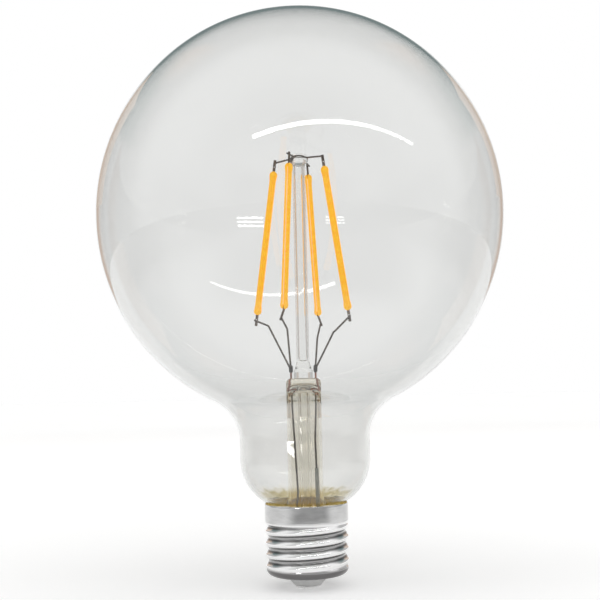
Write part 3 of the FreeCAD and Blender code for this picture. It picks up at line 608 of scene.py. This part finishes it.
def globe_outline(inset):
    """Outline of the glass wall from the pole to the tail, moved in by an inset."""
    sphere = (0, GLOBE_HEIGHT)
    out = NECK_RADIUS + THROAT_BEND
    throat = (out, GLOBE_HEIGHT - math.sqrt((GLOBE_RADIUS + THROAT_BEND) ** 2 - out ** 2))
    tail = (TAIL_RADIUS + TAIL_BEND, COLLAR_TOP - TAIL_DROP)
    shoulder_out = NECK_RADIUS - SHOULDER_BEND
    rise = math.sqrt((SHOULDER_BEND + TAIL_BEND) ** 2 - (tail[0] - shoulder_out) ** 2)
    shoulder = (shoulder_out, tail[1] + rise)

    def toward(start, end, distance):
        share = distance / math.dist(start, end)
        return (start[0] + (end[0] - start[0]) * share, start[1] + (end[1] - start[1]) * share)

    pole = (0, GLOBE_HEIGHT + GLOBE_RADIUS - inset)
    on_sphere = toward(sphere, throat, GLOBE_RADIUS - inset)
    neck_top = (NECK_RADIUS - inset, throat[1])
    neck_end = (NECK_RADIUS - inset, shoulder[1])
    on_shoulder = toward(shoulder, tail, SHOULDER_BEND - inset)
    tail_top = (TAIL_RADIUS - inset, tail[1])
    tail_end = (TAIL_RADIUS - inset, TAIL_END)
    return joined(
        arc(sphere, pole, on_sphere, 110), arc(throat, on_sphere, neck_top, 28), run(neck_top, neck_end, 6),
        arc(shoulder, neck_end, on_shoulder, 28), arc(tail, on_shoulder, tail_top, 8),
        run(tail_top, tail_end, 4))


TURNED = lathe_tree()


def make_globe():
    """Globe, neck and tail as one blown wall."""
    points = joined(globe_outline(0), globe_outline(GLASS_WALL)[::-1])
    turned_piece("globe", TURNED, points, GLOBE_GLASS, "globe_glass", "glass_globe", 256, GLASS_EDGE)


def press_dome():
    """Bore of the stem, and the radius and centre height of the dome that closes it."""
    bore = FLARE_RADIUS - FLARE_WALL
    radius = (bore ** 2 + DOME_RISE ** 2) / (2 * DOME_RISE)
    return bore, radius, PRESS_START + DOME_RISE - radius


def make_stem():
    """Trumpet foot, tube and flattened press, drawn as one melted piece."""
    rim = TAIL_RADIUS - GLASS_WALL - FUSED_GAP
    center = (FLARE_RADIUS + TRUMPET_BEND, TRUMPET_START)
    bore, _, dome_center = press_dome()

    def rim_point(bend):
        return (rim, center[1] - math.sqrt(bend ** 2 - (center[0] - rim) ** 2))

    upper, lower = rim_point(TRUMPET_BEND), rim_point(TRUMPET_BEND + FLARE_WALL)
    dome_top = (0, PRESS_START + DOME_RISE)
    corner = (FLARE_RADIUS - PRESS_ROUND, PRESS_TOP - PRESS_ROUND)
    points = joined(
        arc((0, dome_center), dome_top, (bore, PRESS_START), 24),
        run((bore, PRESS_START), (bore, TRUMPET_START), 10), arc(center, (bore, TRUMPET_START), lower, 24),
        run(lower, upper, 4), arc(center, upper, (FLARE_RADIUS, TRUMPET_START), 24),
        run((FLARE_RADIUS, TRUMPET_START), (FLARE_RADIUS, corner[1]), 40),
        arc(corner, (FLARE_RADIUS, corner[1]), (corner[0], PRESS_TOP), 12),
        run((corner[0], PRESS_TOP), (0, PRESS_TOP), 8))
    sizes = {"Press start": PRESS_START * MM, "Press taper": PRESS_TAPER * MM,
             "Press ratio": PRESS_HALF / FLARE_RADIUS}
    turned_piece("stem_flare_glass", press_tree(), points, STEM_GLASS, "stem_glass", "stem_flare",
                 128, GLASS_EDGE, **sizes)


def make_exhaust():
    """Tube from the dome of the press down to its sealed round tip."""
    _, dome_radius, dome_center = press_dome()
    top = dome_center + math.sqrt(dome_radius ** 2 - EXHAUST_RADIUS ** 2) - FUSED_GAP
    tip = (0, EXHAUST_TIP + EXHAUST_RADIUS)
    points = joined(
        arc(tip, (0, EXHAUST_TIP), (EXHAUST_RADIUS, tip[1]), 16),
        run((EXHAUST_RADIUS, tip[1]), (EXHAUST_RADIUS, top), 40),
        run((EXHAUST_RADIUS, top), (EXHAUST_BORE, top), 2),
        run((EXHAUST_BORE, top), (EXHAUST_BORE, tip[1]), 40),
        arc(tip, (EXHAUST_BORE, tip[1]), (0, tip[1] - EXHAUST_BORE), 12))
    turned_piece("exhaust_glass", TURNED, points, ROD_GLASS, "stem_glass", "exhaust_tube", 64, GLASS_EDGE)


def make_rod():
    """Rod with a melted gabled foot, a fine bore and a rounded button."""
    low = PRESS_TOP + FUSED_GAP
    rim = (BUTTON_RADIUS - BUTTON_HALF, BUTTON_HEIGHT)
    rim_out, rim_top = (BUTTON_RADIUS, rim[1]), (rim[0], rim[1] + BUTTON_HALF)
    meet = (BUTTON_SEAT, rim[1] - math.sqrt(BUTTON_HALF ** 2 - (BUTTON_SEAT - rim[0]) ** 2))
    under = (ROD_RADIUS, meet[1] - BUTTON_FILLET)
    foot_edge = (ROD_FOOT, ROD_FOOT_TOP - FOOT_MELT)
    foot = [(ROD_FOOT - inward, foot_edge[1] + up) for inward, up in FOOT_ROUND]
    gable = [(ROD_RADIUS + outward, ROD_NECK + up) for outward, up in NECK_ROUND]
    bore_top = (ROD_BORE, rim[1] - BUTTON_HALF - BORE_TIP)
    bore_end = (ROD_BORE, ROD_NECK + BORE_TIP)
    points = joined(
        run((0, low), (ROD_FOOT, low), 4), run((ROD_FOOT, low), foot_edge, 6), foot,
        run(foot[-1], gable[0], 5), gable, run((ROD_RADIUS, ROD_NECK + ROD_NECK_RISE), under, 60),
        run(under, meet, 4), arc(rim, meet, rim_out, 10), arc(rim, rim_out, rim_top, 12),
        run(rim_top, (0, rim_top[1] + BUTTON_DOME), 6), run((0, bore_top[1] + BORE_TIP), bore_top, 3),
        run(bore_top, bore_end, 60), run(bore_end, (0, ROD_NECK), 3))
    turned_piece("rod_glass", TURNED, points, ROD_GLASS, "stem_glass", "support_rod", 96, GLASS_EDGE)


# Screw cap pieces

def foot_line():
    """Corner centre of the shell's foot and the outward direction of its cone."""
    corner = (FOOT_RADIUS - FOOT_BEND, THREAD_BOTTOM)
    across, down = MOUTH_RADIUS - corner[0], MOUTH_HEIGHT - corner[1]
    tilt = math.atan2(down, across) + math.acos(FOOT_BEND / math.hypot(across, down))
    return corner, (math.cos(tilt), math.sin(tilt))


def shell_side(inset):
    """Outline of one face of the sheet from the collar's top to the mouth."""
    corner, normal = foot_line()
    reach = FOOT_BEND - inset
    on_cone = (corner[0] + normal[0] * reach, corner[1] + normal[1] * reach)
    mouth = (MOUTH_RADIUS, on_cone[1] - (MOUTH_RADIUS - on_cone[0]) * normal[0] / normal[1])
    return joined(
        run((COLLAR_RADIUS - inset, COLLAR_TOP - LIP_ROUND), (COLLAR_RADIUS - inset, THREAD_TOP), 12),
        run((COLLAR_RADIUS - inset, THREAD_TOP), (FOOT_RADIUS - inset, THREAD_BOTTOM), 110),
        arc(corner, (FOOT_RADIUS - inset, THREAD_BOTTOM), on_cone, 14), run(on_cone, mouth, 10))


def make_shell():
    """Rolled sheet from the rounded collar edge, down the thread, to the turned-in mouth."""
    lip = (COLLAR_RADIUS - SHEET / 2, COLLAR_TOP - LIP_ROUND)
    edge = [(lip[0] + SHEET / 2 * math.cos(a), lip[1] + LIP_ROUND * math.sin(a))
            for a in [math.pi * k / 8 for k in range(9)]]
    outer, inner = shell_side(0), shell_side(SHEET)
    points = joined(inner[::-1], edge[::-1], outer, [inner[-1]])
    sizes = {"Bottom": THREAD_BOTTOM, "Top": THREAD_TOP, "Run-out": THREAD_RUNOUT, "Pitch": THREAD_PITCH,
             "Phase": THREAD_PHASE, "Crest": THREAD_CREST, "Root": THREAD_ROOT,
             "Plain low": FOOT_RADIUS, "Plain high": COLLAR_RADIUS}
    sizes = {name: value * MM for name, value in sizes.items()}
    turned_piece("shell", thread_tree(), points, SHELL_NICKEL, "shell_metal", "screw_shell",
                 240, SHELL_EDGE, **sizes)


def make_cement():
    """Cement ring, dished at the top and a hair clear of the glass, with a cone under the trumpet."""
    outer, inner = COLLAR_RADIUS - SHEET, TAIL_RADIUS + CEMENT_GAP
    inside = TAIL_RADIUS - GLASS_WALL - CEMENT_GAP
    low = TAIL_END - CEMENT_GAP
    dish = [(outer + (inner - outer) * k / 12, CEMENT_TOP - CEMENT_DISH * math.sin(math.pi * k / 12))
            for k in range(13)]
    points = joined(
        run((CEMENT_HOLE, CEMENT_BOTTOM), (CEMENT_SIDE, CEMENT_BOTTOM), 12),
        run((CEMENT_SIDE, CEMENT_BOTTOM), (CEMENT_SIDE, THREAD_TOP), 3),
        run((CEMENT_SIDE, THREAD_TOP), (outer, THREAD_TOP), 3),
        run((outer, THREAD_TOP), (outer, CEMENT_TOP), 10), dish,
        run((inner, CEMENT_TOP), (inner, low), 12), run((inner, low), (inside, low), 3),
        run((inside, low), (inside, TAIL_END + CEMENT_STEP), 2),
        run((inside, TAIL_END + CEMENT_STEP), (CEMENT_HOLE, TAIL_END + CEMENT_RISE), 12),
        run((CEMENT_HOLE, TAIL_END + CEMENT_RISE), (CEMENT_HOLE, CEMENT_BOTTOM), 8))
    turned_piece("cement", TURNED, points, CEMENT_AMBER, "cement", "basing_cement", 160, CEMENT_EDGE)


# Wires and chips

WIRE = wire_tree()
CHIP_ROW = chip_row_tree()


def polar(radius, degrees, height, side=0.0):
    """Point at a distance from the axis in a direction, moved sideways by a side step."""
    a = math.radians(degrees)
    return (radius * math.cos(a) - side * math.sin(a), radius * math.sin(a) + side * math.cos(a), height)


def routed(points, bend):
    """Straight runs joined by tangent arcs, as points along the way."""
    way = [Vector(points[0])]
    for before, corner, after in zip(points, points[1:], points[2:]):
        corner = Vector(corner)
        back, ahead = Vector(before) - corner, Vector(after) - corner
        half = back.angle(ahead) / 2
        reach = min(bend / math.tan(half), 0.45 * min(back.length, ahead.length))
        back.normalize()
        ahead.normalize()
        center = corner + (back + ahead).normalized() * (reach / math.cos(half))
        start, end = corner + back * reach - center, corner + ahead * reach - center
        way += [center + start.slerp(end, k / 10) for k in range(11)]
    way.append(Vector(points[-1]))
    return way


def filament_axes(name):
    """Directions of a filament: out from the bulb's axis, across its strip, and along it."""
    lean = (FOOT_OUT - HEAD_OUT) / FILAMENT_LENGTH
    rise = math.sqrt(1 - lean ** 2)
    a = math.radians(FILAMENT_ANGLE[name])
    out = Vector((rise * math.cos(a), rise * math.sin(a), lean))
    across = Vector((-math.sin(a), math.cos(a), 0))
    return out, across, Vector((-lean * math.cos(a), -lean * math.sin(a), rise))


def make_inner_lead(name):
    """From the weld knot, up and out in an easy bend, to the face of the lower tab."""
    _, across, along = filament_axes(name)
    x = SEAL_OFFSET if name in ("right", "back") else -SEAL_OFFSET
    side = LEAD_SIDE[name] * (TAB_HALF + LEAD_RADIUS)
    lean = math.radians(TAB_LEAN[name])
    off = side * math.cos(lean) + TAB_GRIP[name] * math.sin(lean)
    down = TAB_GRIP[name] * math.cos(lean) - side * math.sin(lean)
    grip = Vector(polar(FOOT_OUT, FILAMENT_ANGLE[name], FOOT_UP)) + across * off - along * down
    bend = Vector(polar(LEAD_BEND_OUT[name], FILAMENT_ANGLE[name], grip.z - LEAD_BEND_DROP[name], off))
    end = grip + (grip - bend).normalized() * TAB_PAST
    heading = Vector((bend.x - x, bend.y, 0)).normalized()
    start = Vector((x, 0, KNOT_TOP - KNOT_RADIUS - LEAD_RADIUS)) + heading * LEAD_SPREAD
    way = routed([start, bend, end], LEAD_BEND[name])
    wire_piece("lead_" + name, way, LEAD_RADIUS, NICKEL_WIRE, "nickel_wire", "inner_lead_" + name)


def make_jumper(name, first, second, grip, arch):
    """From one upper tab, up through the glass button, to the next upper tab."""
    out, _, along = filament_axes(first)
    side = -(TAB_HALF + JUMPER_RADIUS)
    height = FOOT_UP + (FILAMENT_LENGTH + grip) * along.z
    reach = HEAD_OUT - grip * out.z + TAB_PAST
    inside = BUTTON_RADIUS - JUMPER_INSET
    tabs = [polar(reach, FILAMENT_ANGLE[end], height, side) for end in (first, second)]
    middle = [polar(inside, FILAMENT_ANGLE[end], height + arch, side) for end in (first, second)]
    way = stepped(routed([tabs[0], middle[0], middle[1], tabs[1]], JUMPER_BEND), JUMPER_STEP)
    fused = BUTTON_RADIUS - BUTTON_SKIN
    widths = [JUMPER_FUSED if math.hypot(place.x, place.y) < fused else 1.0 for place in way]
    wire_piece("jumper_" + name, way, JUMPER_RADIUS, NICKEL_WIRE, "nickel_wire", "top_jumper_" + name,
               widths)


def make_seal(name, x):
    """Slightly bowed wire through the press, up into the weld knot."""
    rise = KNOT_BOTTOM + SEAL_LAP - SEAL_BOTTOM
    shares = [k / SEAL_STEPS for k in range(SEAL_STEPS + 1)]
    way = [(x, SEAL_BOW * math.sin(math.pi * share), SEAL_BOTTOM + rise * share) for share in shares]
    wire_piece("seal_" + name, way, LEAD_RADIUS, COPPER_WIRE, "copper_wire", "seal_wire_" + name)


def make_chips(name):
    """Row of chips on both faces of one strip."""
    out, across, along = filament_axes(name)
    step = (FILAMENT_LENGTH - 2 * TAB_INSIDE) / CHIP_COUNT
    foot = Vector(polar(FOOT_OUT, FILAMENT_ANGLE[name], FOOT_UP)) + along * (TAB_INSIDE + step / 2)
    turn = Matrix((out, across, along)).transposed().to_euler()
    sizes = {"Count": CHIP_COUNT, "Start": foot * MM, "Step": along * (step * MM), "Turn": turn,
             "Chip size": Vector(CHIP_SIZE) * MM, "Across": across * ((TAB_HALF + CHIP_SIZE[1] / 2) * MM)}
    base = bpy.data.meshes.new("chips_base")
    piece = grow("chips_" + name, CHIP_ROW, base, CHIP_BLUE, sizes)
    adopt(tidy(piece, CHIP_EDGE), "led_chip", "filament_" + name + "_chips")


# All pieces, put in place

make_globe()
make_stem()
make_exhaust()
make_rod()
make_shell()

for side in FILAMENT_ANGLE:
    smooth_copy("coat_" + side, "filament_" + side + "_coat", PHOSPHOR, "phosphor")
    strip = smooth_copy("strip_" + side, "filament_" + side + "_strip", STRIP_CERAMIC, "strip_ceramic")
    soften(strip, STRIP_EDGE)
    smooth_copy("lower_tab_" + side, "filament_" + side + "_lower_tab", TAB_STEEL, "tab_metal")
    smooth_copy("upper_tab_" + side, "filament_" + side + "_upper_tab", TAB_STEEL, "tab_metal")
    make_inner_lead(side)
    make_chips(side)
make_jumper("back", "left", "back", 2.65, 1.0)
make_jumper("front", "front", "right", 3.0, 0.1)
make_seal("left", -SEAL_OFFSET)
make_seal("right", SEAL_OFFSET)
for name in ("left", "right"):
    smooth_copy("knot_" + name, "weld_knot_" + name, WELD_SCALE, "weld")
    smooth_copy("outer_" + name, "outer_lead_" + name, NICKEL_WIRE, "nickel_wire")
smooth_copy("sleeve", "lead_sleeve", SLEEVE_WHITE, "sleeve")
smooth_copy("insulator", "cap_insulator", INSULATOR_PALE, "insulator")
smooth_copy("contact", "centre_contact", CONTACT_TIN, "contact_metal")
make_cement()

hidden = {"driver_board": BOARD_GREEN, "bridge_rectifier": CASE_BLACK, "driver_chip": CASE_BLACK,
          "smoothing_capacitor": CAN_METAL, "fuse_resistor": RESISTOR_COAT,
          "contact_wire": COPPER_WIRE, "shell_wire": COPPER_WIRE}
for name, finish in hidden.items():
    nodes[name].data.materials.clear()
    nodes[name].data.materials.append(finish)


# Studio

scene = bpy.context.scene
scene.view_settings.view_transform = "Standard"
scene.cycles.max_bounces = 32
scene.cycles.transmission_bounces = 32
scene.cycles.glossy_bounces = 12
scene.cycles.transparent_max_bounces = 16

CAMERA_PLACE, CAMERA_ROLL = (0, -0.300, 0.060), 1.3
LENS_LENGTH, LENS_SHIFT = 57.5, (-0.0063, 0.158)

lens = bpy.data.cameras.new("camera")
lens.lens = LENS_LENGTH
lens.sensor_width = 36
lens.shift_x, lens.shift_y = LENS_SHIFT
lens.clip_start = 0.01
lens.clip_end = 50
camera = bpy.data.objects.new("camera", lens)
camera.location = CAMERA_PLACE
camera.rotation_euler = (math.radians(90), math.radians(CAMERA_ROLL), 0)
scene.collection.objects.link(camera)
scene.camera = camera


def seen_rays(n):
    """1 for rays that look, straight, by reflection or through glass; 0 for rays that only light."""
    path = n.add("ShaderNodeLightPath").outputs
    through = n.math("MAXIMUM", path["Is Glossy Ray"], path["Is Transmission Ray"])
    return n.math("MAXIMUM", path["Is Camera Ray"], through)


ROOM_LIGHT, ROOM_SEEN = 1.3, 1.0
ROOM_TONES = [(0.18, 0.50), (0.34, 0.9), (0.50, 0.9), (0.62, 0.45), (0.885, 0.50), (0.943, 1.0)]
HORIZON_TOP, HORIZON_WHITE = 0.35, 0.15
BACK_HALF = (0.60, 0.72)
SIDE_RISE, SIDE_FALL, SIDE_WARM = (0.33, 0.40), (0.48, 0.64), (0.62, 0.51, 0.44, 1)
UPPER_RISE, UPPER_FALL, UPPER_REST = (0.40, 0.48), (0.60, 0.78), 0.15
UPPER_GREY = (0.20, 0.245, 0.245, 1)


def studio_room():
    """Room, white behind the bulb, in soft greys elsewhere, warm beside the picture and dark above it."""
    room = bpy.data.worlds.new("studio")
    room.use_nodes = True
    room.node_tree.nodes.clear()
    n = Nodes(room.node_tree)
    level = n.remap(seen_rays(n), 0.0, 1.0, ROOM_LIGHT, ROOM_SEEN)
    direction = n.add("ShaderNodeTexCoord").outputs["Generated"]
    across, away, up = n.add("ShaderNodeSeparateXYZ", {0: direction}).outputs
    depth = n.remap(away, -1.0, 1.0, 0.0, 1.0)
    color = n.ramp(depth, [(stop, (tone,) * 3) for stop, tone in ROOM_TONES])
    horizon = n.remap(up, 0.0, HORIZON_TOP, HORIZON_WHITE, 0.0, "SMOOTHSTEP")
    color = n.mix(horizon, color, (1, 1, 1, 1))
    behind = n.remap(depth, *BACK_HALF, 0.0, 1.0)
    beside = n.band(n.math("ABSOLUTE", across), SIDE_RISE, SIDE_FALL)
    color = n.mix(n.math("MULTIPLY", beside, behind), color, SIDE_WARM)
    above = n.band(up, UPPER_RISE, UPPER_FALL, UPPER_REST)
    color = n.mix(n.math("MULTIPLY", above, behind), color, UPPER_GREY)
    sky = n.add("ShaderNodeBackground", {"Strength": level, "Color": color})
    n.add("ShaderNodeOutputWorld", {0: sky.outputs[0]})
    return room


scene.world = studio_room()


def card(name, corners, finish):
    """Flat piece of the studio with given corners."""
    mesh = bpy.data.meshes.new(name)
    mesh.from_pydata(corners, [], [tuple(range(len(corners)))])
    mesh.materials.append(finish)
    made = bpy.data.objects.new(name, mesh)
    scene.collection.objects.link(made)
    return made


def paint(name, low, high):
    """Matt studio paint with a faint cloudy tone."""
    made, n, shader, _ = material(name)
    n.put(shader.inputs["Base Color"], n.ramp(object_noise(n, 2.0), [(0.3, low), (0.7, high)]))
    shader.inputs["Roughness"].default_value = 0.9
    shader.inputs["Specular IOR Level"].default_value = 0.0
    return made, n, shader


FLOOR_GLOW, FLOOR_GREY, FLOOR_HALF = 0.30, (0.50, 0.50, 0.50, 1), 20
FRONT_REACH, FRONT_RISE, FRONT_FALL = (0.10, 0.16), (-1.15, -0.35), (0.80, 1.35)
SIDE_REACH, SIDE_END = (0.13, 0.50), (1.7, 2.3)


def floor_paint():
    """Pale floor, white where it is looked at, light grey in front and at the sides, out of the picture."""
    made, n, shader = paint("floor paint", (0.86, 0.86, 0.86), (0.88, 0.88, 0.88))
    spot = n.add("ShaderNodeSeparateXYZ", {0: n.add("ShaderNodeTexCoord").outputs["Object"]}).outputs
    forward = n.math("MULTIPLY", spot[1], -1.0)
    bearing = n.math("ARCTAN2", spot[0], forward)
    reach = n.math("SQRT", n.math("ADD", n.math("POWER", spot[0], 2.0), n.math("POWER", spot[1], 2.0)))
    front = n.math("MULTIPLY", n.remap(reach, *FRONT_REACH, 0.0, 1.0, "SMOOTHSTEP"),
                   n.band(bearing, FRONT_RISE, FRONT_FALL))
    beside = n.math("MULTIPLY", n.remap(reach, *SIDE_REACH, 0.0, 1.0, "SMOOTHSTEP"),
                    n.remap(n.math("ABSOLUTE", bearing), *SIDE_END, 1.0, 0.0, "SMOOTHSTEP"))
    patch = n.math("MAXIMUM", front, beside)
    pale = shader.inputs["Base Color"].links[0].from_socket
    n.put(shader.inputs["Base Color"], n.mix(patch, pale, FLOOR_GREY))
    shader.inputs["Emission Color"].default_value = (1, 1, 1, 1)
    glow = n.math("MULTIPLY", n.remap(patch, 0.0, 1.0, FLOOR_GLOW, 0.0), seen_rays(n))
    n.put(shader.inputs["Emission Strength"], glow)
    return made


WARM_NEAR, WARM_FAR, WARM_LOW, WARM_HIGH = (1.0, 1.1), (0.62, 1.45), 0.42, 1.05
WARM_PAINT = paint("warm card", (0.86, 0.72, 0.62), (0.92, 0.78, 0.68))[0]

corners = [(-1, -1, 0), (1, -1, 0), (1, 1, 0), (-1, 1, 0)]
card("floor", [(FLOOR_HALF * x, FLOOR_HALF * y, z) for x, y, z in corners], floor_paint())
for name, side in (("warm_left", -1), ("warm_right", 1)):
    corners = [(*WARM_FAR, WARM_LOW), (*WARM_NEAR, WARM_LOW),
               (*WARM_NEAR, WARM_HIGH), (*WARM_FAR, WARM_HIGH)]
    warm = card(name, [(side * x, y, z) for x, y, z in corners], WARM_PAINT)
    warm.visible_camera = False

LAMP_GLOW, LAMP_AIM = 9.0, (0, 0, 0.11)
LONG_LAMP, LONG_WIDTH = ((-0.2786, -0.6012, 0.5213), (1.3447, -0.5946, 0.8752)), 0.03
SHORT_LAMP, SHORT_WIDTH = ((-0.2658, -0.4444, 0.0521), (-0.1441, -0.4444, 0.0494)), 0.0072
SHORT_LAMPS, SHORT_DROP = 3, 0.0168


def tube_lamp(name, start, end, width):
    """Straight strip lamp between two points, turned to the bulb."""
    middle = (Vector(start) + Vector(end)) / 2
    along = Vector(end) - Vector(start)
    light = bpy.data.lights.new(name, "AREA")
    light.shape = "RECTANGLE"
    light.size = along.length
    light.size_y = width
    light.energy = LAMP_GLOW * math.pi * along.length * width
    made = bpy.data.objects.new(name, light)
    side = along.normalized()
    ahead = middle - Vector(LAMP_AIM)
    ahead = (ahead - side * ahead.dot(side)).normalized()
    turn = Matrix((side, ahead.cross(side), ahead)).transposed().to_4x4()
    made.matrix_world = Matrix.Translation(middle) @ turn
    made.visible_camera = False
    scene.collection.objects.link(made)


tube_lamp("long_lamp", *LONG_LAMP, LONG_WIDTH)
for k in range(SHORT_LAMPS):
    start, end = [(x, y, z - SHORT_DROP * k) for x, y, z in SHORT_LAMP]
    tube_lamp("short_lamp_%d" % k, start, end, SHORT_WIDTH)

bpy.context.view_layer.update()
